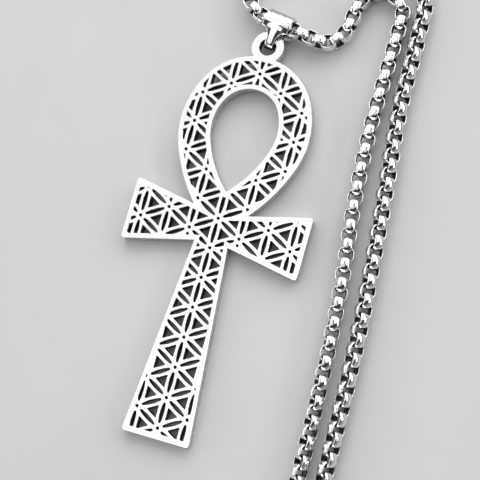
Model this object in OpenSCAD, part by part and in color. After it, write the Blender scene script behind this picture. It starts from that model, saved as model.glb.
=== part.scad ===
// Ankh pendant with a lattice of interlocking circles cut through its plate, a folded bail
// and a round box chain. It lies on a flat surface: +Z is up, +Y runs along the ankh towards
// its ring, and the origin is on the surface under the middle of the cross.

/* [Plate] */
// thickness of the ankh's plate
plate_t = 1.8; // [1.2:0.1:3]
// rounding of the corners of the arms and the foot
corner_r = 0.5; // [0.2:0.1:1.5]

/* [Arms] */
// width across both arms
arm_span = 32.1; // [27:0.1:40]
// height of an arm at its outer end
arm_end_h = 11.1; // [9:0.1:14]
// height that both arms taper to at the stem's axis
arm_root_h = 4.4; // [3.5:0.1:6]
// how far the arms' middle line lies below the middle of the cross
arm_drop = 1.7; // [1:0.1:2.5]

/* [Stem] */
// length from the middle of the cross down to the foot
stem_len = 38.6; // [30:0.1:50]
// width of the stem at the foot
foot_w = 12.2; // [9:0.1:16]
// width that the stem tapers to at the middle of the cross
stem_root_w = 5.25; // [4:0.05:7]

/* [Loop] */
// height of the loop's top above the middle of the cross
loop_h = 29.3; // [26:0.1:34]
// width across the loop
loop_w = 23.3; // [20:0.1:27]
// width of the loop's band at each side
band_side_w = 5.7; // [4.5:0.1:7]
// width of the loop's band at its top
band_top_w = 5.9; // [4.5:0.1:7]
// width that the loop narrows to at the arms' middle line
loop_root_w = 3.1; // [2:0.1:4]
// height of the eye's lower tip above the middle of the cross
eye_rise = 4.8; // [4:0.1:6]

/* [Ring] */
// diameter of the ring's hole
ring_hole_d = 3.05; // [2.8:0.05:4]
// width of the ring's wall
ring_wall = 1.35; // [1:0.05:2]
// height of the ring's middle above the loop's top
ring_rise = 1.9; // [1.6:0.1:2.6]

/* [Pattern] */
// distance between neighbouring nodes of the lattice
cell = 5.25; // [4.5:0.05:7]
// length of the petal-shaped gap between two nodes
petal_len = 3.5; // [2.8:0.1:4]
// width of that gap at its middle
petal_w = 0.71; // [0.5:0.01:0.9]
// width of that gap at its blunt ends
petal_tip_w = 0.34; // [0.2:0.01:0.45]
// distance from the line between two nodes to the side of the triangular gap beside it
tri_inset = 0.87; // [0.7:0.01:1.1]
// solid border along the arms
arm_rim = 0.85; // [0.5:0.05:1.3]
// solid border along the stem's sides
stem_rim = 0.72; // [0.5:0.02:1.2]
// solid border along the foot
foot_rim = 0.95; // [0.5:0.05:1.5]
// solid border round the loop and round its eye
loop_rim = 0.82; // [0.5:0.02:1.2]
// how far inside the border the middle of a gap lies at least
gap_depth = 0.6; // [0.3:0.05:1]

/* [Bail] */
// thickness of the bail's sheet
bail_t = 0.5; // [0.4:0.05:0.8]
// width of the bail over the chain
bail_top_w = 4.9; // [3.5:0.1:6]
// width of the bail's neck through the ring
bail_neck_w = 1.6; // [1.2:0.05:2]
// how far the bail is turned from the ankh's axis, in degrees
bail_swing = 12; // [0:1:15]
// clearance between the bail and the ring, and between the ring and the chain
seat_gap = 0.12; // [0.1:0.01:0.2]
// clearance of the chain in the bail and at the clasp
chain_gap = 0.15; // [0.1:0.01:0.3]

/* [Chain] */
// width across the chain
chain_d = 3; // [2.4:0.1:3.1]

/* [Clasp] */
// length of the clasp
clasp_len = 12.6; // [11:0.1:16]
// width of the clasp's body
clasp_w = 6; // [5.5:0.1:8]
// thickness of the clasp
clasp_t = 1.6; // [1.2:0.1:2]
// height of the clasp above the surface, where the chain's end rings hold it
clasp_lift = 0.7; // [0.5:0.05:1]
// width of the opening in the clasp's body
clasp_open = 4; // [3:0.1:4.2]
// outer width of the clasp's small eye
clasp_eye_w = 3.8; // [3.4:0.1:4.2]
// hole in the clasp's small eye
clasp_eye_hole = 1.8; // [1.4:0.1:2]

/* [Hidden] */
steel = [0.86, 0.87, 0.88];
$fn = 180;

// Plate outline: arms, stem, and a loop whose contours are three arcs on each side
arm_y = -arm_drop;
foot_y = -stem_len;
arm_half = arm_span / 2;
arm_slope = (arm_end_h - arm_root_h) / arm_span;
stem_slope = (foot_w - stem_root_w) / 2 / stem_len;
ring_y = loop_h + ring_rise;
ring_hole_r = ring_hole_d / 2;
ring_r = ring_hole_r + ring_wall;
// radii of the top and side arc as shares of half the width, and the angle where the lower arc starts
loop_top_share = 0.964;
loop_side_share = 1.31;
loop_turn_angle = -21;
eye_top_share = 0.93;
eye_side_share = 1.457;
eye_turn_angle = -17.5;
arc_steps = 16;
corner_steps = 6;
// how far a cut runs past the faces that it goes through
cut = 1;

// Lattice: nodes stand in columns that are half as far apart in height as the cell's side
col_dx = cell * sqrt(3) / 2;
row_dy = cell / 2;
cols = ceil(arm_half / col_dx);
rows_down = ceil(stem_len / row_dy);
rows_up = ceil(loop_h / row_dy);
tri_r = 2 * (cell * sqrt(3) / 6 - tri_inset);
petal_sag = (petal_w - petal_tip_w) / 2;
petal_arc_r = (petal_len * petal_len / 4 + petal_sag * petal_sag) / (2 * petal_sag);

// Seats: the bail's lower leaf lies on the surface under the ring and lifts it
ring_lift = bail_t + seat_gap;
tilt = asin(ring_lift / (ring_y + ring_hole_r + stem_len));
pinch_r = plate_t / 2 + seat_gap;
pinch_z = bail_t + pinch_r;
pinch_y = sqrt(max(0, ring_hole_r * ring_hole_r - bail_neck_w * bail_neck_w / 4));
barrel_r = chain_d / 2 + chain_gap;
barrel_y = ring_r + seat_gap + chain_d / 2;
barrel_z = bail_t + barrel_r;
bail_dir = [sin(bail_swing), cos(bail_swing)];
through_dir = [cos(bail_swing), -sin(bail_swing)];
bail_at = [0, ring_y] + barrel_y * bail_dir;
bail_flare_y = ring_r + seat_gap;

// Chain: the clasp's place and the points of the route from the clasp to the bail and back
clasp_at = [27, -205];
chain_route = [
    [14.8, -202.5], [12.8, -195], [14.8, -170], [20, -122], [24, -74], [25, -42], [24.4, -22],
    [23.4, -6], [21.9, 8], [21.2, 22], [21.4, 38.8], [21.1, 42.5], [19.1, 44.7], [16.4, 45],
    [14.1, 43.6], [13.2, 40.9], [12.8, 37.6], [11.5, 35.1], [8.8, 34.1],
    [-5.3, 38.5], [-6.8, 42.3], [-5.3, 46.6], [-1.5, 49.8], [6, 51.8], [14, 52.4], [20.6, 50.3],
    [24.2, 45.6], [24.8, 38], [25, 26], [26.1, 14], [27.3, 1], [28.5, -16], [29.1, -36], [29.6, -62],
    [32.6, -110], [39.2, -170], [41.2, -195], [39.2, -202.5],
];
route_to_bail = 19;
bail_reach = 3;
seat_len = 12;
chain_sides = 8;
ring_step = 24;
clasp_end = [clasp_len / 2 + chain_gap, 0];
clasp_lead = clasp_end + [chain_d, 0];
chain_path = concat(
    [clasp_at - clasp_end, clasp_at - clasp_lead],
    [for (i = [0 : route_to_bail - 1]) chain_route[i]],
    [for (k = [1, 0, -1]) bail_at + k * bail_reach * through_dir],
    [for (i = [route_to_bail : len(chain_route) - 1]) chain_route[i]],
    [clasp_at + clasp_lead, clasp_at + clasp_end]
);

function arc(c, r, a0, a1, n) = [
    for (k = [0 : n])
        let (a = a0 + (a1 - a0) * k / n)
        c + r * [cos(a), sin(a)]
];

function flip_x(p) = [-p[0], p[1]];

function mirrored(right) = concat(right, [for (k = [len(right) - 1 : -1 : 0]) flip_x(right[k])]);

// An egg is [top centre, top r, side centre, side r, low centre, low r, side arc's start, side arc's end].
// Its lower arc runs on from the side arc to the point last.
function egg(half_w, top_y, top, side, end, last) =
    let (start = acos((half_w - side) / (top - side)), out = [cos(end), sin(end)])
    let (c_top = [0, top_y - top])
    let (c_side = c_top + (top - side) * [cos(start), sin(start)])
    let (chord = c_side + side * out - last)
    let (low = chord * chord / (2 * chord * out))
    let (c_low = c_side + (side - low) * out)
    [c_top, top, c_side, side, c_low, low, start, end];

// Contour of an egg grown by g, down to the angle a_end of its lower arc
function egg_points(e, g, a_end) =
    mirrored(concat(
        arc(e[0], e[1] + g, 90, e[6], arc_steps),
        arc(e[2], e[3] + g, e[6], e[7], arc_steps),
        arc(e[4], e[5] + g, e[7], a_end, arc_steps)
    ));

function egg_angle_at_y(e, g, y) = asin((y - e[4][1]) / (e[5] + g));

function egg_angle_at_tip(e, g) = -acos(-e[4][0] / (e[5] + g));

// Distance from a point to an egg's contour, more than 0 inside it
function egg_depth(e, p) =
    let (q = [abs(p[0]), p[1]])
    let (a = atan2(q[1] - e[2][1], q[0] - e[2][0]))
    a > e[6] ? e[1] - norm(q - e[0]) : a > e[7] ? e[3] - norm(q - e[2]) : e[5] - norm(q - e[4]);

function arm_half_h(x) = arm_root_h / 2 + arm_slope * abs(x);

function stem_half_w(y) = stem_root_w / 2 - stem_slope * y;

function arm_depth(p) = min(
    arm_half - arm_rim - abs(p[0]),
    (arm_half_h(p[0]) - abs(p[1] - arm_y)) / norm([1, arm_slope]) - arm_rim
);

function stem_depth(p) = min(
    (stem_half_w(p[1]) - abs(p[0])) / norm([1, stem_slope]) - stem_rim,
    p[1] - foot_y - foot_rim,
    arm_y - p[1]
);

function loop_depth(p) = min(egg_depth(loop_egg, p), -egg_depth(eye_egg, p)) - loop_rim;

function depth(p) = max(arm_depth(p), stem_depth(p), loop_depth(p));

// Polygon whose corners are rounded, each to its own radius, or kept where that is 0
function rounded(points, radii) = [
    for (i = [0 : len(points) - 1])
        let (p = points[i], r = radii[i], n = len(points))
        let (a = unit(points[(i + n - 1) % n] - p), b = unit(points[(i + 1) % n] - p))
        let (half = acos(a * b) / 2, from = atan2(-a[0], a[1]) + 180)
        let (to = from + 180 - 2 * half)
        each r > 0 ? arc(p + r / sin(half) * unit(a + b), r, from, to, corner_steps) : [p]
];

function unit(v) = v / norm(v);

// Contour of a round at p and a round at q with the tangents between them
function two_rounds(p, rp, q, rq) =
    let (lean = atan2(q[1] - p[1], q[0] - p[0]), open = acos((rp - rq) / norm(q - p)))
    concat(
        arc(q, rq, lean - open, lean + open, arc_steps * 2),
        arc(p, rp, lean + open, lean - open + 360, arc_steps * 2)
    );

// Point at the share t of the way from b to c on the smooth curve through a, b, c and d
function between(a, b, c, d, t) =
    b + t * (c - a) / 2
    + t * t * (2 * a - 5 * b + 4 * c - d) / 2
    + t * t * t * (3 * b - a - 3 * c + d) / 2;

// Smooth curve through the points, in two steps or more between neighbours
function smooth(p) = [
    for (i = [0 : len(p) - 2])
        let (a = i > 0 ? p[i - 1] : 2 * p[0] - p[1], d = i < len(p) - 2 ? p[i + 2] : 2 * p[i + 1] - p[i])
        let (steps = max(2, ceil(norm(p[i + 1] - p[i]) / ring_step)))
        each [for (k = [0 : steps - 1]) between(a, p[i], p[i + 1], d, k / steps)],
    p[len(p) - 1]
];

// Height of the chain's middle: it rises from the surface to the bail's barrel
function chain_z(p) =
    let (far = max(0, norm(p - bail_at) - bail_reach) / seat_len)
    chain_d / 2 + (far < 1 ? (barrel_z - chain_d / 2) * (1 + cos(180 * far)) / 2 : 0);

loop_half = loop_w / 2;
loop_egg = egg(loop_half, loop_h, loop_top_share * loop_half, loop_side_share * loop_half,
    loop_turn_angle, [loop_root_w / 2, arm_y]);
eye_half = loop_half - band_side_w;
eye_egg = egg(eye_half, loop_h - band_top_w, eye_top_share * eye_half, eye_side_share * eye_half,
    eye_turn_angle, [0, eye_rise]);

module arms_2d(rim, r) {
    x = arm_half - rim;
    h = arm_half_h(x) - rim * norm([1, arm_slope]);
    h0 = arm_half_h(0) - rim * norm([1, arm_slope]);
    translate([0, arm_y])
        polygon(rounded([[-x, -h], [0, -h0], [x, -h], [x, h], [0, h0], [-x, h]], [r, 0, r, r, 0, r]));
}

module stem_2d(side_rim, end_rim, r) {
    y = foot_y + end_rim;
    w = stem_half_w(y) - side_rim * norm([1, stem_slope]);
    w0 = stem_half_w(arm_y) - side_rim * norm([1, stem_slope]);
    polygon(rounded([[-w, y], [w, y], [w0, arm_y], [-w0, arm_y]], [r, r, 0, 0]));
}

module loop_2d(rim) {
    difference() {
        polygon(egg_points(loop_egg, -rim, egg_angle_at_y(loop_egg, -rim, arm_y)));
        polygon(egg_points(eye_egg, rim, egg_angle_at_tip(eye_egg, rim)));
    }
}

module petal_2d() {
    intersection() {
        translate([0, petal_w / 2 - petal_arc_r])
            circle(r = petal_arc_r);
        translate([0, petal_arc_r - petal_w / 2])
            circle(r = petal_arc_r);
        square([petal_len, petal_w], center = true);
    }
}

module petal_gaps_2d() {
    for (i = [-cols : cols], j = [-rows_down : rows_up], a = [90, 30, -30])
        if ((i + j) % 2 == 0) {
            c = [i * col_dx, j * row_dy] + cell / 2 * [cos(a), sin(a)];
            if (depth(c) > gap_depth)
                translate(c)
                    rotate(a)
                        petal_2d();
        }
}

module triangle_gaps_2d() {
    for (i = [-cols : cols], j = [-rows_down : rows_up], side = [-1, 1])
        if ((i + j) % 2 == 0) {
            c = [i * col_dx + side * col_dx / 3, (j + 1) * row_dy];
            if (depth(c) > gap_depth)
                translate(c)
                    rotate(side > 0 ? 0 : 180)
                        circle(r = tri_r, $fn = 3);
        }
}

// The gaps, cut off where they would reach into the border
module gaps_2d() {
    intersection() {
        union() {
            petal_gaps_2d();
            triangle_gaps_2d();
        }
        union() {
            arms_2d(arm_rim, 0);
            stem_2d(stem_rim, foot_rim, 0);
            loop_2d(loop_rim);
        }
    }
}

module plate() {
    linear_extrude(plate_t)
        arms_2d(0, corner_r);
    linear_extrude(plate_t)
        stem_2d(0, 0, corner_r);
    linear_extrude(plate_t)
        loop_2d(0);
    translate([0, ring_y, 0])
        cylinder(h = plate_t, r = ring_r);
}

module ankh() {
    color(steel)
        translate([0, foot_y, 0])
            rotate([tilt, 0, 0])
                translate([0, -foot_y, 0])
                    difference() {
                        plate();
                        translate([0, ring_y, -cut])
                            cylinder(h = plate_t + 2 * cut, r = ring_hole_r);
                        translate([0, 0, -cut])
                            linear_extrude(plate_t + 2 * cut)
                                gaps_2d();
                    }
}

// The bail's side view grown by g: a small round in the ring and a large one over the chain
module bail_side_2d(g) {
    polygon(two_rounds([pinch_y, pinch_z], pinch_r + g, [barrel_y, barrel_z], barrel_r + g));
}

// The bail from above: a neck that flares to the full width over the chain
module bail_top_2d() {
    neck = bail_neck_w / 2;
    wide = bail_top_w / 2;
    y0 = pinch_y - pinch_r - bail_t - cut;
    y1 = barrel_y + barrel_r + bail_t + cut;
    polygon(mirrored(concat(
        [[neck, y0]],
        [for (k = [0 : corner_steps]) let (a = 90 * k / corner_steps)
            [neck + (wide - neck) * (1 - cos(a)), pinch_y + (bail_flare_y - pinch_y) * sin(a)]],
        [[wide, y1]]
    )));
}

module bail() {
    color(steel)
        translate([0, ring_y, 0])
            rotate(-bail_swing)
                intersection() {
                    rotate([90, 0, 90])
                        linear_extrude(bail_top_w + cut, center = true)
                            difference() {
                                bail_side_2d(bail_t);
                                bail_side_2d(0);
                            }
                    linear_extrude(barrel_z + barrel_r + bail_t + cut)
                        bail_top_2d();
                }
}

module chain() {
    line = smooth(chain_path);
    n = len(line);
    function along(i) = i > 0 && i < n - 1 ? unit(line[i + 1] - line[i - 1]) : [-1, 0];
    rings = [for (i = [0 : n - 1]) let (t = along(i))
        each [for (k = [0 : chain_sides - 1]) let (a = 360 * k / chain_sides)
            [line[i][0] - t[1] * chain_d / 2 * cos(a), line[i][1] + t[0] * chain_d / 2 * cos(a),
                chain_z(line[i]) + chain_d / 2 * sin(a)]]];
    walls = [for (i = [0 : n - 2], k = [0 : chain_sides - 1])
        let (a = i * chain_sides, b = a + chain_sides, m = (k + 1) % chain_sides)
        [a + k, a + m, b + m, b + k]];
    first_end = [for (k = [chain_sides - 1 : -1 : 0]) k];
    last_end = [for (k = [0 : chain_sides - 1]) (n - 1) * chain_sides + k];
    color(steel)
        polyhedron(rings, concat(walls, [first_end, last_end]));
}

module clasp() {
    body = [clasp_w / 2 - clasp_len / 2, 0];
    eye = [clasp_len / 2 - clasp_eye_w / 2, 0];
    color(steel)
        translate([clasp_at[0], clasp_at[1], clasp_lift])
            linear_extrude(clasp_t)
                difference() {
                    polygon(two_rounds(body, clasp_w / 2, eye, clasp_eye_w / 2));
                    translate(body)
                        circle(d = clasp_open);
                    translate(eye)
                        circle(d = clasp_eye_hole);
                }
}

ankh();
bail();
chain();
clasp();
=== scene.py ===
import math

import bpy
import numpy as np
from mathutils import Matrix, Vector
from mathutils.geometry import delaunay_2d_cdt


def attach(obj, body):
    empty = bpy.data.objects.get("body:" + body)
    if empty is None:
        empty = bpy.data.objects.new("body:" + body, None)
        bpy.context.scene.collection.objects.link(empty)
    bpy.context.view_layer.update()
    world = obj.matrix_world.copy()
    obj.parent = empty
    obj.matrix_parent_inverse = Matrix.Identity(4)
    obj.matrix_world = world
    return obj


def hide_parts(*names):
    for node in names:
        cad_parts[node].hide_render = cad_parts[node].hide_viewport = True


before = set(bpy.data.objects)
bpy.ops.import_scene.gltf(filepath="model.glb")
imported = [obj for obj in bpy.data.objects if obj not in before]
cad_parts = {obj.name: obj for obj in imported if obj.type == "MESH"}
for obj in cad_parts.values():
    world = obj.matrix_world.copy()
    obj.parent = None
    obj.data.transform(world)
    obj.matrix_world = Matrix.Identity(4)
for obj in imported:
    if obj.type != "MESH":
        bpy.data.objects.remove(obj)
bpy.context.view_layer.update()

# An ankh pendant on a round box chain: its visible pieces, the floor, the lights and the camera.
# All shapes are worked out in millimetres and put into the scene in metres.
MM = 0.001
STEEL, LINK_STEEL = (0.86, 0.87, 0.88), (0.82, 0.83, 0.84)

# Sizes shared with the part's source, in millimetres.
PLATE_T = 1.8
CORNER_R = 0.5
ARM_HALF, ARM_END_H, ARM_ROOT_H, ARM_Y = 16.05, 11.1, 4.4, -1.7
FOOT_Y, FOOT_W, STEM_ROOT_W = -38.6, 12.2, 5.25
LOOP_H, LOOP_HALF, LOOP_ROOT_HALF, EYE_TIP_Y = 29.3, 11.65, 1.55, 4.8
BAND_SIDE_W, BAND_TOP_W = 5.7, 5.9
RING_Y, RING_HOLE_R, RING_R = 31.2, 1.525, 2.875
ARM_RIM, STEM_RIM, FOOT_RIM, LOOP_RIM = 0.85, 0.72, 0.95, 0.82
CELL = 5.25
BAIL_T, BAIL_TOP_W, BAIL_NECK_W, BAIL_SWING = 0.5, 4.9, 1.6, 12
SEAT_GAP, CHAIN_GAP, CHAIN_D = 0.12, 0.15, 3.0
CLASP_AT, CLASP_LEN, CLASP_W, CLASP_T, CLASP_LIFT = (27.0, -205.0), 12.6, 6.0, 1.6, 0.7
CLASP_OPEN_R, CLASP_EYE_R, CLASP_EYE_HOLE_R = 2.0, 1.9, 0.9
CHAIN_ROUTE = [
    (14.8, -202.5), (12.8, -195), (14.8, -170), (20, -122), (24, -74), (25, -42), (24.4, -22),
    (23.4, -6), (21.9, 8), (21.2, 22), (21.4, 38.8), (21.1, 42.5), (19.1, 44.7), (16.4, 45),
    (14.1, 43.6), (13.2, 40.9), (12.8, 37.6), (11.5, 35.1), (8.8, 34.1),
    (-5.3, 38.5), (-6.8, 42.3), (-5.3, 46.6), (-1.5, 49.8), (6, 51.8), (14, 52.4), (20.6, 50.3),
    (24.2, 45.6), (24.8, 38), (25, 26), (26.1, 14), (27.3, 1), (28.5, -16), (29.1, -36),
    (29.6, -62), (32.6, -110), (39.2, -170), (41.2, -195), (39.2, -202.5),
]
# How many points of the route come before the bail, how far the chain runs straight to each side
# of the bail's middle, and the length on which it then comes down.
ROUTE_TO_BAIL, BAIL_REACH, SEAT_LEN = 19, 3, 12

TILT = math.asin((BAIL_T + SEAT_GAP) / (RING_Y + RING_HOLE_R - FOOT_Y))
ARM_SLOPE = (ARM_END_H - ARM_ROOT_H) / (2 * ARM_HALF)
# The bail's inner side is a small round in the ring and a large one round the chain, with their
# tangents: radius, place along the bail, height.
PINCH_R = PLATE_T / 2 + SEAT_GAP
PINCH_Y = math.sqrt(RING_HOLE_R ** 2 - BAIL_NECK_W ** 2 / 4)
BARREL_R = CHAIN_D / 2 + CHAIN_GAP
BARREL_Y = RING_R + SEAT_GAP + CHAIN_D / 2
PINCH_Z, BARREL_Z = BAIL_T + PINCH_R, BAIL_T + BARREL_R
SWING = math.radians(BAIL_SWING)
BAIL_AT = (BARREL_Y * math.sin(SWING), RING_Y + BARREL_Y * math.cos(SWING))

# Gaps of the lattice, as shares of CELL: a petal's half length, half width and radii of its sides
# and ends; how far a triangle stays from the lines between the nodes, and the radius of its
# corners; the radius of a dot.
PETAL_HALF, PETAL_HALF_W, PETAL_SIDE_R, PETAL_END_R = 0.335, 0.0675, 1.59, 0.0395
TRIANGLE_INSET, TRIANGLE_CORNER_R, DOT_R = 0.1655, 0.0165, 0.054

# Sizes of the visible details alone, in millimetres.
ANKH_BEVEL, CLASP_BEVEL, BAIL_EDGE_R = 0.07, 0.35, 0.16
# Two discs that stay solid where gaps would meet beside the crossing.
BRIDGES, BRIDGE_R = ((-2.25, -3.5), (2.25, -3.5)), 0.27
# Least areas of a gap, in square millimetres: anywhere, and of a petal's part in the stem.
LEAST_GAP, LEAST_STEM_GAP = 0.001 * CELL ** 2, 0.007 * CELL ** 2
# Gaps below this area have walls painted near black as shade, in square millimetres.
SMALL_GAP = 20
# A contour's points nearer than NEAR are one. A corner sharper than SHARP, in radians, gets a
# point at BESIDE from it on each of its edges that is longer than LONG.
NEAR, SHARP, LONG, BESIDE = 0.02, 0.35, 0.35, 0.16
# A contour's corner point moves at most MITER times the bevel along each edge's normal.
MITER = 1.5

# One link: half its length and width, the exponent of its bowed outline, the outline's points, and
# one half of its strip's section as (across, depth) from the middle of the outside to the inside.
LINK_HALF_L, LINK_HALF_W, LINK_BOW, LINK_STEPS = 1.46, 1.455, 2.5, 26
LINK_SECTION = [(0, 0), (0.45, -0.035), (0.68, -0.12), (0.77, -0.21), (0.69, -0.3), (0, -0.42)]
# The distance between points on the chain's middle line, and the least steps from one point of its
# route to the next.
LINE_STEP, LEAST_STEPS = 0.2, 4
# The links' distance, how far the end links reach past the chain's ends, and how far before and
# after its middle a link takes its direction from.
LINK_PITCH, END_REACH, LINK_LOOK = 1.65, 0.09, 0.6
# The rings between chain and clasp: radius, wire's radius, and how far their middle lies inside
# the clasp's end.
JUMP_R, JUMP_WIRE, JUMP_INSET = 1.2, 0.24, 0.5
# Roll of the chain about its own line, in degrees: (length along the chain as a share, roll).
CHAIN_ROLL = [
    (0, 0), (0.15, 30), (0.295, 50), (0.306, 43), (0.317, 32), (0.329, 22), (0.351, 14),
    (0.374, 6), (0.396, 1), (0.43, -4), (0.47, 10), (0.52, 30), (0.565, 45), (0.61, 53),
    (0.643, 60), (0.655, 56), (0.666, 49), (0.677, 43), (0.72, 38), (0.85, 30), (0.97, 0), (1, 0),
]

# Camera: its place and the point it looks at in millimetres, roll in degrees, focal length.
CAMERA_AT, CAMERA_TO = (64.17, -33.25, 211.47), (4.77, -2.72, 2.11)
CAMERA_ROLL, LENS = -47.79, 97.5
# Lights, in metres: name, place, point faced, width and height, radiance.
LIGHTS = [
    ("soft_box", (-0.33, 0.27, 0.60), (-0.1, 0.1, 0), (0.72, 0.72), 1.08),
    ("left_light", (-0.32, -0.26, 0.58), (0, 0, 0), (0.28, 0.28), 1.4),
    ("back_light", (-0.05, 0.85, 0.55), (0, 0, 0), (1.4, 0.8), 2.6),
    ("side_light", (0.62, 0.33, 0.30), (0, 0, 0), (0.8, 0.12), 6),
    ("low_light", (-0.1, -0.85, 0.28), (0, 0, 0), (0.9, 0.2), 3),
    ("left_strip", (-0.85, -0.1, 0.30), (0, 0, 0), (0.9, 0.3), 2.5),
    ("right_box", (0.42, 0.28, 0.60), (0, 0, 0), (0.4, 0.4), 1.6),
]
# The room's shade by the height of the direction, from the horizon at 0 to straight up at 1.
ROOM = [(0.42, (0.34, 0.34, 0.345)), (0.62, 0.05), (0.94, 0.05), (0.97, 0.85)]
FLOOR_HALF = 1.5
# Hairline scratches: their direction in radians, and the noise's value above which they show.
SCRATCHES = ((0.35, 0.70), (1.45, 0.72), (-0.8, 0.73))


# ---------------------------------------------------------------- camera

def set_camera():
    """A long lens almost straight above the necklace, rolled to lean the ankh to the right."""
    at = Vector(CAMERA_AT) * MM
    forward = (Vector(CAMERA_TO) * MM - at).normalized()
    roll = math.radians(CAMERA_ROLL)
    level = forward.cross(Vector((0, 0, 1))).normalized()
    rise = level.cross(forward)
    right = level * math.cos(roll) + rise * math.sin(roll)
    up = rise * math.cos(roll) - level * math.sin(roll)
    data = bpy.data.cameras.new("camera")
    data.sensor_width = 36
    data.lens = LENS
    data.clip_start = 0.005
    camera = bpy.data.objects.new("camera", data)
    turn = Matrix((right, up, -forward)).transposed()
    camera.matrix_world = Matrix.Translation(at) @ turn.to_4x4()
    bpy.context.scene.collection.objects.link(camera)
    bpy.context.scene.camera = camera


# ---------------------------------------------------------------- materials

class Nodes:
    """The nodes of a material or world, made and linked in one call each."""

    def __init__(self, owner, shader="Principled BSDF"):
        owner.use_nodes = True
        self.owner = owner
        self.tree = owner.node_tree
        self.shader = self.tree.nodes[shader]

    def add(self, kind, inputs=(), **settings):
        node = self.tree.nodes.new(kind)
        for key, value in settings.items():
            setattr(node, key, value)
        for key, value in dict(inputs).items():
            self.put(value, node.inputs[key])
        return node

    def put(self, value, socket):
        if isinstance(value, bpy.types.NodeSocket):
            self.tree.links.new(value, socket)
        else:
            socket.default_value = value

    def ramp(self, value, *stops):
        node = self.add("ShaderNodeValToRGB", {"Fac": value})
        ramp = node.color_ramp
        while len(ramp.elements) < len(stops):
            ramp.elements.new(1)
        for element, (place, shade) in zip(ramp.elements, stops):
            element.position = place
            element.color = (*([shade] * 3 if isinstance(shade, (int, float)) else shade), 1)
        return node.outputs["Color"]

    def noise(self, scale, detail=3.0, stretch=(1, 1, 1), turn=0.0, rough=0.5):
        where = self.add("ShaderNodeTexCoord").outputs["Object"]
        mapped = self.add("ShaderNodeMapping", {
            "Vector": where, "Scale": stretch, "Rotation": (0, 0, turn)})
        node = self.add("ShaderNodeTexNoise", {
            "Vector": mapped.outputs["Vector"], "Scale": scale, "Detail": detail,
            "Roughness": rough})
        return node.outputs["Fac"]

    def math(self, operation, a, b):
        return self.add("ShaderNodeMath", {0: a, 1: b}, operation=operation).outputs[0]


def polished_steel(name, base, smooth, dull, scratch):
    """Polished steel with patches of slightly different gloss and hairline scratches."""
    n = Nodes(bpy.data.materials.new(name))
    lines = None
    for turn, place in SCRATCHES:
        streak = n.noise(1500, 2, (0.035, 1, 1), turn)
        line = n.ramp(streak, (place - 0.02, 0.0), (place + 0.03, 1.0))
        lines = line if lines is None else n.math("MAXIMUM", lines, line)
    patches = n.ramp(n.noise(160, 4), (0.3, smooth), (0.75, dull))
    n.put(n.math("ADD", patches, n.math("MULTIPLY", lines, 0.08)), n.shader.inputs["Roughness"])
    tone = n.ramp(n.noise(90, 3), (0.3, tuple(0.95 * c for c in base)), (0.7, base))
    n.put(tone, n.shader.inputs["Base Color"])
    n.shader.inputs["Metallic"].default_value = 1
    height = n.math("ADD", n.math("MULTIPLY", lines, -0.4), n.noise(220, 2))
    bump = n.add("ShaderNodeBump", {"Height": height, "Strength": scratch, "Distance": 0.00002})
    n.put(bump.outputs["Normal"], n.shader.inputs["Normal"])
    return n.owner


def streaked_steel(name, low, high):
    """Steel duller than the faces, with fine upright streaks: the walls that the cutting left, and
    the links' inner sides. Near black colours paint shade onto the walls of small gaps and the
    links' inner sides.
    """
    n = Nodes(bpy.data.materials.new(name))
    streak = n.noise(2600, 2, (1, 1, 0.12))
    n.put(n.ramp(streak, (0.3, low), (0.7, high)), n.shader.inputs["Base Color"])
    n.put(n.ramp(n.noise(900, 3), (0.3, 0.28), (0.7, 0.45)), n.shader.inputs["Roughness"])
    n.shader.inputs["Metallic"].default_value = 1
    bump = n.add("ShaderNodeBump", {"Height": streak, "Strength": 0.5, "Distance": 0.00004})
    n.put(bump.outputs["Normal"], n.shader.inputs["Normal"])
    return n.owner


def floor_paint():
    """A pale, matt floor with hardly visible unevenness."""
    n = Nodes(bpy.data.materials.new("floor_paint"))
    n.put(n.ramp(n.noise(30, 4), (0.3, 0.55), (0.7, 0.58)), n.shader.inputs["Base Color"])
    n.put(n.ramp(n.noise(300, 2), (0.3, 0.75), (0.7, 0.85)), n.shader.inputs["Roughness"])
    return n.owner


# ---------------------------------------------------------------- plane shapes

def arc(centre, r, start, end, steps):
    """Points on an arc, from one angle to another in degrees."""
    angles = [math.radians(start + (end - start) * k / steps) for k in range(steps + 1)]
    return [(centre[0] + r * math.cos(a), centre[1] + r * math.sin(a)) for a in angles]


def circle(centre, r, steps):
    return arc(centre, r, 0, 360, steps)[:-1]


def rounded(points, radii, steps):
    """The polygon with its corners rounded, each to its own radius."""
    shape = []
    for i, (p, r) in enumerate(zip(points, radii)):
        p = Vector(p)
        a = (Vector(points[i - 1]) - p).normalized()
        b = (Vector(points[(i + 1) % len(points)]) - p).normalized()
        if not r:
            shape.append(tuple(p))
            continue
        half = math.acos(a.dot(b)) / 2
        first = math.degrees(math.atan2(-a.x, a.y)) + 180
        centre = p + (a + b).normalized() * r / math.sin(half)
        shape += arc(centre, r, first, first + 180 - 2 * math.degrees(half), steps)
    return shape


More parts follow.
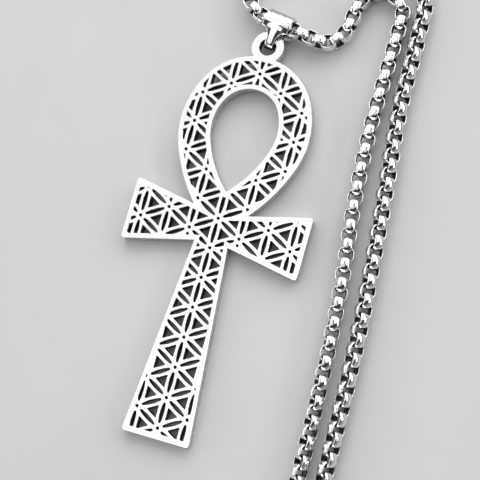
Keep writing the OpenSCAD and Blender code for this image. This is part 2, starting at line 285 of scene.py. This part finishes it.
class Egg:
    """Contour of three arcs on each side: top, side and lower, which runs on to the point last.

    The two shares are the upper arcs' radii, in halves of the width. turn is the angle at which
    the lower arc begins."""

    def __init__(self, half, top_y, top_share, side_share, turn, last):
        top, side = top_share * half, side_share * half
        self.turn = turn
        self.start = math.degrees(math.acos((half - side) / (top - side)))
        out = Vector((math.cos(math.radians(turn)), math.sin(math.radians(turn))))
        a = math.radians(self.start)
        c_top = Vector((0, top_y - top))
        c_side = c_top + (top - side) * Vector((math.cos(a), math.sin(a)))
        chord = c_side + side * out - Vector(last)
        low = chord.dot(chord) / (2 * chord.dot(out))
        self.arcs = [(c_top, top), (c_side, side), (c_side + (side - low) * out, low)]

    def points(self, grow, last_y=None):
        """The contour moved outwards by grow, down to last_y or else to where its sides meet."""
        (c0, r0), (c1, r1), (c2, r2) = self.arcs
        if last_y is None:
            last = -math.degrees(math.acos(-c2.x / (r2 + grow)))
        else:
            last = math.degrees(math.asin((last_y - c2.y) / (r2 + grow)))
        right = arc(c0, r0 + grow, 90, self.start, 30)
        right += arc(c1, r1 + grow, self.start, self.turn, 24)[1:]
        right += arc(c2, r2 + grow, self.turn, last, 16)[1:]
        left = [(-x, y) for x, y in reversed(right) if abs(x) > 1e-6]
        return (right + left)[::-1]


LOOP_EGG = Egg(LOOP_HALF, LOOP_H, top_share=0.964, side_share=1.31, turn=-21,
               last=(LOOP_ROOT_HALF, ARM_Y))
EYE_EGG = Egg(LOOP_HALF - BAND_SIDE_W, LOOP_H - BAND_TOP_W, top_share=0.93, side_share=1.457,
              turn=-17.5, last=(0, EYE_TIP_Y))


def arms(rim, r):
    """The two arms as one shape, a rim inside their outline, with corners of radius r."""
    x = ARM_HALF - rim
    edge = rim * math.hypot(1, ARM_SLOPE)
    h0, h = ARM_ROOT_H / 2 - edge, ARM_ROOT_H / 2 + ARM_SLOPE * x - edge
    corners = [(-x, -h), (0, -h0), (x, -h), (x, h), (0, h0), (-x, h)]
    return rounded([(u, v + ARM_Y) for u, v in corners], [r, 0, r, r, 0, r], 6)


def stem(side_rim, end_rim, r):
    """The stem, a rim inside its sides and its end, with corners of radius r."""
    slope = (FOOT_W - STEM_ROOT_W) / 2 / -FOOT_Y
    edge = side_rim * math.hypot(1, slope)
    y = FOOT_Y + end_rim
    w, w0 = STEM_ROOT_W / 2 - slope * y - edge, STEM_ROOT_W / 2 - slope * ARM_Y - edge
    return rounded([(-w, y), (w, y), (w0, ARM_Y), (-w0, ARM_Y)], [r, r, 0, 0], 6)


def petal(centre, turn):
    """The lens-shaped gap between two nodes, with round ends."""
    half, w = PETAL_HALF * CELL, PETAL_HALF_W * CELL
    r, end = PETAL_SIDE_R * CELL, PETAL_END_R * CELL
    x1 = half - end
    a = math.degrees(math.asin(x1 / r))
    upper = arc((0, w - r), r, 90 - a, 90 + a, 6)
    left = arc((-x1, 0), end, 90, 270, 6)[1:-1]
    shape = upper + left + [(-x, -y) for x, y in upper] + [(-x, -y) for x, y in left]
    c, s = math.cos(math.radians(turn)), math.sin(math.radians(turn))
    return [(centre[0] + x * c - y * s, centre[1] + x * s + y * c) for x, y in shape]


def triangle(centre, turn):
    """The gap in a field between three nodes, with slightly rounded corners."""
    r = 2 * (CELL * math.sqrt(3) / 6 - TRIANGLE_INSET * CELL)
    angles = [math.radians(turn + a) for a in (0, 120, 240)]
    corners = [(centre[0] + r * math.cos(a), centre[1] + r * math.sin(a)) for a in angles]
    return rounded(corners, [TRIANGLE_CORNER_R * CELL] * 3, 3)


def lattice_gaps():
    """Every petal, triangle and dot that can reach the plate, in a lattice of crossing circles."""
    dx, dy, dot_r = CELL * math.sqrt(3) / 2, CELL / 2, DOT_R * CELL
    petals, triangles, dots = [], [], []
    for i in range(-4, 5):
        for j in range(-15, 13):
            if (i + j) % 2:
                continue
            x, y = i * dx, j * dy
            dots.append(circle((x, y), dot_r, 14))
            for turn in (90, 30, -30):
                a = math.radians(turn)
                centre = (x + CELL / 2 * math.cos(a), y + CELL / 2 * math.sin(a))
                petals.append(petal(centre, turn))
            triangles.append(triangle((x + dx / 3, y + dy), 0))
            triangles.append(triangle((x - dx / 3, y + dy), 180))
    return petals, triangles, dots


def area(loop):
    """The area inside a contour, negative where it runs clockwise."""
    return sum(a[0] * b[1] - b[0] * a[1] for a, b in zip(loop, loop[1:] + loop[:1])) / 2


def outlines(shapes, is_solid, least_gap):
    """Contours of the area that is_solid accepts, solid on their left, from shapes that may cross.

    Both functions get a set of shapes' names: is_solid those that a place lies in, least_gap those
    that the places along a gap's border lie in. least_gap gives the area that the gap needs."""
    points, polygons, names = [], [], []
    for name, shape in shapes:
        polygons.append(list(range(len(points), len(points) + len(shape))))
        points += [Vector(p) for p in shape]
        names.append(name)
    verts, _, faces, _, _, inside = delaunay_2d_cdt(points, [], polygons, 0, 1e-5, True)
    places = [({names[k] for k in ids}, list(zip(face, face[1:] + face[:1])))
              for face, ids in zip(faces, inside)]
    solid = dict.fromkeys(edge for found, edges in places if is_solid(found) for edge in edges)
    follow, beside = {}, {}
    for a, b in solid:
        if (b, a) not in solid:
            follow.setdefault(a, []).append(b)
    for found, edges in places:
        for a, b in edges:
            if (b, a) in solid and (a, b) not in solid:
                beside[(b, a)] = found
    loops = []
    while follow:
        ids, kinds = [next(iter(follow))], set()
        while True:
            here = ids[-1]
            onward = follow[here].pop()
            if not follow[here]:
                del follow[here]
            kinds |= beside.get((here, onward), set())
            if onward == ids[0]:
                break
            ids.append(onward)
        loop = [tuple(verts[k]) for k in ids]
        if area(loop) > 0 or -area(loop) > least_gap(kinds):
            loops.append(tidy(loop))
    return loops


def tidy(loop):
    """The contour without points that nearly coincide, and with points added beside sharp corners.

    The added points keep the shading of the long walls flat."""
    kept = []
    for p in loop:
        if not kept or math.dist(p, kept[-1]) > NEAR:
            kept.append(p)
    while math.dist(kept[0], kept[-1]) < NEAR:
        kept.pop()
    out = []
    for i, p in enumerate(kept):
        p, before, after = Vector(p), Vector(kept[i - 1]), Vector(kept[(i + 1) % len(kept)])
        a, b = p - before, after - p
        sharp = a.angle(b) > SHARP
        if sharp and a.length > LONG:
            out.append(tuple(p - a.normalized() * BESIDE))
        out.append(tuple(p))
        if sharp and b.length > LONG:
            out.append(tuple(p + b.normalized() * BESIDE))
    return out


# ---------------------------------------------------------------- meshes

def add_mesh(name, verts, faces, normals, place, materials, face_materials=None):
    """A smooth object from points in millimetres, with the given normals if there are any.

    place puts points, and with 0 for its second value directions, where they are in the frame."""
    mesh = bpy.data.meshes.new(name)
    co = np.array(verts, float)
    mesh.from_pydata((place(co, 1.0) * MM).tolist(), [], faces)
    for material in materials:
        mesh.materials.append(material)
    if face_materials is not None:
        mesh.polygons.foreach_set("material_index", face_materials)
    mesh.polygons.foreach_set("use_smooth", [True] * len(mesh.polygons))
    if normals is not None:
        mesh.normals_split_custom_set_from_vertices(place(np.array(normals, float), 0.0).tolist())
    mesh.update()
    piece = bpy.data.objects.new(name, mesh)
    bpy.context.scene.collection.objects.link(piece)
    return piece


def tube_faces(steps, sides):
    """Faces of a closed tube whose points come in rings, one for each step, of so many sides."""
    faces = []
    for i in range(steps):
        a, b = i * sides, (i + 1) % steps * sides
        for k in range(sides):
            j = (k + 1) % sides
            faces.append((a + k, b + k, b + j, a + j))
    return faces


def plate(loops, thickness, bevel, steps):
    """Points, faces, normals and faces' materials of a plate with rounded edges above and below.

    The materials are 0 for the faces and rounded edges, 1 for the walls of small gaps, which are
    painted near black as shade, and 2 for the other walls."""
    profile = []
    for k in range(steps + 1):
        a = math.pi / 2 * k / steps
        s, c = math.sin(a), math.cos(a)
        profile.append((bevel * (1 - s), thickness - bevel * (1 - c), s, c))
    profile += [(d, thickness - z, s, -c) for d, z, s, c in reversed(profile)]
    verts, normals, faces, walls, rims = [], [], [], [], []
    for loop in loops:
        count = len(loop)
        points = [Vector(p) for p in loop]
        edge = [(points[(i + 1) % count] - points[i]).normalized() for i in range(count)]
        left = [Vector((-e.y, e.x)) for e in edge]
        base = len(verts)
        # Walls of small gaps take material 1, which is painted near black as shade.
        wall = 1 if -SMALL_GAP < area(loop) < 0 else 2
        for depth, z, s, c in profile:
            for i in range(count):
                both = left[i - 1] + left[i]
                scale = min(1 / max(0.2, 1 + left[i - 1].dot(left[i])), MITER)
                p = points[i] + both * depth * scale
                out = -both.normalized()
                verts.append((p.x, p.y, z))
                normals.append((out.x * s, out.y * s, c))
        for k in range(len(profile) - 1):
            for i in range(count):
                j = (i + 1) % count
                top, low = base + k * count, base + (k + 1) * count
                faces.append((low + i, low + j, top + j, top + i))
                walls.append(wall if k == steps else 0)
        rims.append((base, count, area(loop) < 0))

    # The upper face between the rims, and the same faces again below.
    points, ids, polygons = [], [], []
    for base, count, gap in rims:
        polygon = list(range(len(points), len(points) + count))
        polygons.append(polygon[::-1] if gap else polygon)
        points += [Vector(verts[base + i][:2]) for i in range(count)]
        ids += [base + i for i in range(count)]
    # For each point of an upper rim, the one below it.
    lower = {base + i: base + (len(profile) - 1) * count + i
             for base, count, _ in rims for i in range(count)}
    found, _, tops, origins, _, inside = delaunay_2d_cdt(points, [], polygons, 0, 1e-6, True)
    for v, origin in enumerate(origins):
        # A point of its own, where rims cross, becomes the nearest one of a rim.
        if not origin:
            origin.append(min(range(len(points)), key=lambda k: (points[k] - found[v]).length))
    for face, polygon_ids in zip(tops, inside):
        if polygon_ids and not any(rims[k][2] for k in polygon_ids):
            corner = [ids[origins[v][0]] for v in face]
            if len(set(corner)) < 3:
                continue
            faces.append(tuple(corner))
            faces.append(tuple(lower[v] for v in reversed(corner)))
            walls += [0, 0]
    return verts, faces, normals, walls


# ---------------------------------------------------------------- ankh

def make_ankh(face_steel, shaded_wall_steel, edge_steel):
    """The plate with the lattice's gaps, leaning on its foot's edge over the bail's lower leaf."""
    petals, triangles, dots = lattice_gaps()
    shapes = [
        ("arms", arms(0, CORNER_R)), ("stem", stem(0, 0, CORNER_R)),
        ("loop", LOOP_EGG.points(0, ARM_Y)), ("eye", EYE_EGG.points(0)),
        ("ring", circle((0, RING_Y), RING_R, 72)), ("hole", circle((0, RING_Y), RING_HOLE_R, 56)),
        ("arms_field", arms(ARM_RIM, 0)), ("stem_field", stem(STEM_RIM, FOOT_RIM, 0)),
        ("loop_field", LOOP_EGG.points(-LOOP_RIM, ARM_Y)), ("eye_field", EYE_EGG.points(LOOP_RIM)),
    ]
    shapes += [("bridge", circle(p, BRIDGE_R, 20)) for p in BRIDGES]
    for shape in triangles:
        x, y = np.mean(shape, axis=0)
        low = abs(y - ARM_Y) < ARM_ROOT_H / 2 - ARM_RIM + ARM_SLOPE * abs(x)
        shapes.append(("low_triangle" if low else "triangle", shape))
    shapes += [("petal", p) for p in petals] + [("dot", p) for p in dots]

    def is_solid(found):
        """Whether metal is here. The loop's field cuts no triangle between the arms' rims."""
        metal = {"arms", "stem", "ring"} & found or ("loop" in found and "eye" not in found)
        low_field = {"arms_field", "stem_field"} & found
        field = low_field or ("loop_field" in found and "eye_field" not in found)
        gap = (field and {"petal", "triangle", "dot"} & found
               or low_field and "low_triangle" in found)
        return bool(metal) and "hole" not in found and (not gap or "bridge" in found)

    def least_gap(kinds):
        in_stem = "stem_field" in kinds and "arms_field" not in kinds and "petal" in kinds
        return LEAST_STEM_GAP if in_stem else LEAST_GAP

    loops = outlines(shapes, is_solid, least_gap)
    verts, faces, normals, walls = plate(loops, PLATE_T, ANKH_BEVEL, steps=3)
    c, s = math.cos(TILT), math.sin(TILT)

    def lean(co, is_point):
        y = co[:, 1] - FOOT_Y * is_point
        return np.stack([co[:, 0], FOOT_Y * is_point + y * c - co[:, 2] * s,
                         y * s + co[:, 2] * c], 1)

    piece = add_mesh("ankh_pierced", verts, faces, normals, lean,
                     [face_steel, shaded_wall_steel, edge_steel], walls)
    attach(piece, "root")
    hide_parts("ankh")


# ---------------------------------------------------------------- chain

def chain_line():
    """The chain's middle line, finely divided, as points with their height."""
    bail, clasp = np.array(BAIL_AT), np.array(CLASP_AT)
    through = np.array([math.cos(SWING), -math.sin(SWING)])
    end = np.array([CLASP_LEN / 2 + CHAIN_GAP, 0])
    lead = end + [CHAIN_D, 0]
    route = [np.array(p, float) for p in CHAIN_ROUTE]
    p = [clasp - end, clasp - lead, *route[:ROUTE_TO_BAIL]]
    p += [bail + k * BAIL_REACH * through for k in (1, 0, -1)]
    p += [*route[ROUTE_TO_BAIL:], clasp + lead, clasp + end]
    points = []
    for i in range(len(p) - 1):
        a = p[i - 1] if i else 2 * p[0] - p[1]
        b, c = p[i], p[i + 1]
        d = p[i + 2] if i < len(p) - 2 else 2 * p[i + 1] - p[i]
        steps = max(LEAST_STEPS, math.ceil(np.linalg.norm(c - b) / LINE_STEP))
        for t in np.arange(steps) / steps:
            points.append(b + t * (c - a) / 2 + t * t * (2 * a - 5 * b + 4 * c - d) / 2
                          + t ** 3 * (3 * b - a - 3 * c + d) / 2)
    points.append(p[-1])
    flat = np.array(points)
    far = np.maximum(0, np.linalg.norm(flat - bail, axis=1) - BAIL_REACH) / SEAT_LEN
    fade = 1 + np.cos(np.pi * np.minimum(far, 1))
    rise = np.where(far < 1, (BARREL_Z - CHAIN_D / 2) * fade / 2, 0)
    return np.column_stack([flat, CHAIN_D / 2 + rise])


def link_form():
    """One link around the origin: a bowed strip bent to a ring, its length along x, width along y.

    The faces' list of materials has 1 for the inner side, which is painted near black as shade."""
    points = []
    for i in range(LINK_STEPS):
        a = 2 * math.pi * (i + 0.5) / LINK_STEPS
        x, y = math.cos(a), math.sin(a)
        points.append(Vector((LINK_HALF_L * math.copysign(abs(x) ** (2 / LINK_BOW), x),
                              LINK_HALF_W * math.copysign(abs(y) ** (2 / LINK_BOW), y))))
    section = LINK_SECTION + [(-z, d) for z, d in reversed(LINK_SECTION[1:-1])]
    verts = []
    for i in range(LINK_STEPS):
        a = (points[i] - points[i - 1]).normalized()
        b = (points[(i + 1) % LINK_STEPS] - points[i]).normalized()
        out = Vector((a.y + b.y, -a.x - b.x)).normalized()
        for z, d in section:
            p = points[i] + out * d
            verts.append((p.x, p.y, z))
    deepest = len(LINK_SECTION) - 1
    inner = [int(k in (deepest - 1, deepest)) for k in range(len(section))] * LINK_STEPS
    return np.array(verts), np.array(tube_faces(LINK_STEPS, len(section))), inner


def torus(centre, axis, r, wire, steps, sides):
    """Points and faces of a ring of round wire."""
    axis = np.array(axis, float)
    off_axis = [0.3, 0.5, 0.8]
    u = np.cross(axis, off_axis)
    u /= np.linalg.norm(u)
    v = np.cross(axis, u)
    verts = []
    for i in range(steps):
        a = 2 * math.pi * i / steps
        out = u * math.cos(a) + v * math.sin(a)
        for k in range(sides):
            b = 2 * math.pi * k / sides
            verts.append(np.array(centre) + out * (r + wire * math.cos(b))
                         + axis * wire * math.sin(b))
    return np.array(verts), np.array(tube_faces(steps, sides))


def make_chain(steel, inside):
    """The links along the chain's line, each turned a quarter from the last, and the two rings."""
    line = chain_line()
    step = np.linalg.norm(np.diff(line, axis=0), axis=1)
    length = np.concatenate([[0], np.cumsum(step)])
    first = LINK_HALF_L - END_REACH
    span = length[-1] - 2 * first
    count = 2 * round(span / LINK_PITCH / 2) + 1
    link, link_faces, inner = link_form()
    all_verts, all_faces, sides, base = [], [], [], 0
    for i in range(count):
        at = first + span * i / (count - 1)
        before, after, middle = (
            np.array([np.interp(s, length, line[:, k]) for k in range(3)])
            for s in (at - LINK_LOOK, at + LINK_LOOK, at))
        forward = (after - before) / np.linalg.norm(after - before)
        side = np.cross([0, 0, 1], forward)
        side /= np.linalg.norm(side)
        up = np.cross(forward, side)
        roll = math.radians(np.interp(at / length[-1], *zip(*CHAIN_ROLL)) + 90 * (i % 2))
        wide = side * math.cos(roll) + up * math.sin(roll)
        deep = up * math.cos(roll) - side * math.sin(roll)
        all_verts.append(middle + link @ np.array([forward, wide, deep]))
        all_faces.append(link_faces + base)
        # Material 1 paints the links' inner sides near black as shade between the links.
        sides += inner
        base += len(link)
    for way in (-1, 1):
        at = (CLASP_AT[0] + way * (CLASP_LEN / 2 - JUMP_INSET), CLASP_AT[1], CHAIN_D / 2)
        ring, ring_faces = torus(at, (0, 1, 0), JUMP_R, JUMP_WIRE, steps=28, sides=10)
        all_verts.append(ring)
        all_faces.append(ring_faces + base)
        sides += [0] * len(ring_faces)
        base += len(ring)
    piece = add_mesh("chain_links", np.concatenate(all_verts), np.concatenate(all_faces).tolist(),
                     None, lambda co, _: co, [steel, inside], sides)
    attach(piece, "root")
    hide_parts("chain")


# ---------------------------------------------------------------- bail and clasp

def two_rounds(p, rp, q, rq, steps):
    """Contour of a round at p and a round at q with the tangents between them."""
    lean = math.degrees(math.atan2(q[1] - p[1], q[0] - p[0]))
    half = math.degrees(math.acos((rp - rq) / math.dist(p, q)))
    return (arc(q, rq, lean - half, lean + half, steps)
            + arc(p, rp, lean + half, lean - half + 360, steps))


def spaced(loop, count):
    """The closed contour again, in points that are evenly far apart."""
    co = np.array(loop + loop[:1])
    length = np.concatenate([[0], np.cumsum(np.linalg.norm(np.diff(co, axis=0), axis=1))])
    at = np.arange(count) / count * length[-1]
    return np.column_stack([np.interp(at, length, co[:, 0]), np.interp(at, length, co[:, 1])])


def make_bail(steel):
    """A strip that runs as a closed teardrop through the ring and round the chain.

    It is wide only over the chain."""
    teardrop = two_rounds((PINCH_Y, PINCH_Z), PINCH_R, (BARREL_Y, BARREL_Z), BARREL_R, steps=48)
    inner = spaced(teardrop, count=96)
    count = len(inner)
    flare_from, flare_to = PINCH_Y, RING_R + SEAT_GAP
    verts = []
    for i in range(count):
        t = inner[(i + 1) % count] - inner[i - 1]
        t /= np.linalg.norm(t)
        out = np.array([t[1], -t[0]])
        mid = inner[i] + out * BAIL_T / 2
        share = min(1, max(0, (mid[0] - flare_from) / (flare_to - flare_from)))
        flare = 1 - math.sqrt(1 - share ** 2)
        half = BAIL_NECK_W / 2 + (BAIL_TOP_W - BAIL_NECK_W) / 2 * flare
        # Two rounded edges of five points each, and a point in the middle of each face.
        section = []
        for sign in (1, -1):
            for k, level in enumerate((1, 1, 0, -1, -1)):
                a = sign * math.pi / 2 * (1 - k / 2)
                section.append((sign * (half - BAIL_EDGE_R + BAIL_EDGE_R * abs(math.cos(a))),
                                (BAIL_T / 2 - BAIL_EDGE_R) * level * sign
                                + BAIL_EDGE_R * math.sin(a)))
            section.append((0, -sign * BAIL_T / 2))
        for x, d in section:
            y, z = mid + out * d
            verts.append((x, y, z))
    co = np.array(verts)
    c, s = math.cos(SWING), math.sin(SWING)
    turned = np.stack([co[:, 0] * c + co[:, 1] * s,
                       co[:, 1] * c - co[:, 0] * s + RING_Y, co[:, 2]], 1)
    piece = add_mesh("bail_strip", turned, tube_faces(count, len(section)), None,
                     lambda p, _: p, [steel])
    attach(piece, "root")
    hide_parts("bail")


def make_clasp(steel):
    """A plain plate with the outline of a lobster clasp."""
    body = (CLASP_W / 2 - CLASP_LEN / 2, 0)
    eye = (CLASP_LEN / 2 - CLASP_EYE_R, 0)
    outer = two_rounds(body, CLASP_W / 2, eye, CLASP_EYE_R, steps=40)
    loops = [outer, circle(body, CLASP_OPEN_R, 48)[::-1], circle(eye, CLASP_EYE_HOLE_R, 32)[::-1]]
    loops = [tidy(loop) for loop in loops]
    verts, faces, normals, _ = plate(loops, CLASP_T, CLASP_BEVEL, steps=5)

    def shift(co, is_point):
        return co + np.array([CLASP_AT[0], CLASP_AT[1], CLASP_LIFT]) * is_point

    piece = add_mesh("clasp_body", verts, faces, normals, shift, [steel])
    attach(piece, "root")
    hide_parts("clasp")


# ---------------------------------------------------------------- stage

def make_stage():
    h = FLOOR_HALF
    mesh = bpy.data.meshes.new("floor")
    mesh.from_pydata([(-h, -h, 0), (h, -h, 0), (h, h, 0), (-h, h, 0)], [], [(0, 1, 2, 3)])
    mesh.materials.append(floor_paint())
    floor = bpy.data.objects.new("floor", mesh)
    bpy.context.scene.collection.objects.link(floor)


def area_light(name, at, toward, size, radiance):
    data = bpy.data.lights.new(name, "AREA")
    data.shape = "RECTANGLE"
    data.size, data.size_y = size
    data.energy = radiance * math.pi * size[0] * size[1]
    light = bpy.data.objects.new(name, data)
    light.location = at
    light.rotation_euler = (Vector(toward) - Vector(at)).to_track_quat("-Z", "Y").to_euler()
    bpy.context.scene.collection.objects.link(light)


def make_lights():
    """A soft box that the ankh's face mirrors, smaller lights around it, and a dim room.

    The room is paler at the horizon and straight up."""
    for light in LIGHTS:
        area_light(*light)
    world = bpy.data.worlds.new("studio")
    bpy.context.scene.world = world
    n = Nodes(world, "Background")
    where = n.add("ShaderNodeTexCoord").outputs["Generated"]
    height = n.add("ShaderNodeSeparateXYZ", {0: where}).outputs["Z"]
    n.put(n.ramp(height, *ROOM), n.shader.inputs["Color"])
    bpy.context.scene.view_settings.view_transform = "Standard"


set_camera()
make_lights()
make_stage()
# The walls of small gaps are painted near black as shade; the outer cut walls keep a pale steel.
make_ankh(polished_steel("polished_plate", STEEL, smooth=0.10, dull=0.16, scratch=0.15),
          streaked_steel("gap_wall_painted_shade", low=(0.035, 0.035, 0.037), high=(0.10, 0.10, 0.105)),
          streaked_steel("cut_edge", low=(0.5, 0.51, 0.52), high=(0.75, 0.76, 0.77)))
# The links' inner sides are painted near black as shade.
make_chain(polished_steel("polished_links", LINK_STEEL, smooth=0.07, dull=0.14, scratch=0.2),
           streaked_steel("link_inside_painted_shade", low=(0.03, 0.03, 0.032), high=(0.08, 0.08, 0.084)))
make_bail(polished_steel("polished_bail", STEEL, smooth=0.06, dull=0.12, scratch=0.15))
make_clasp(polished_steel("polished_clasp", STEEL, smooth=0.08, dull=0.14, scratch=0.15))
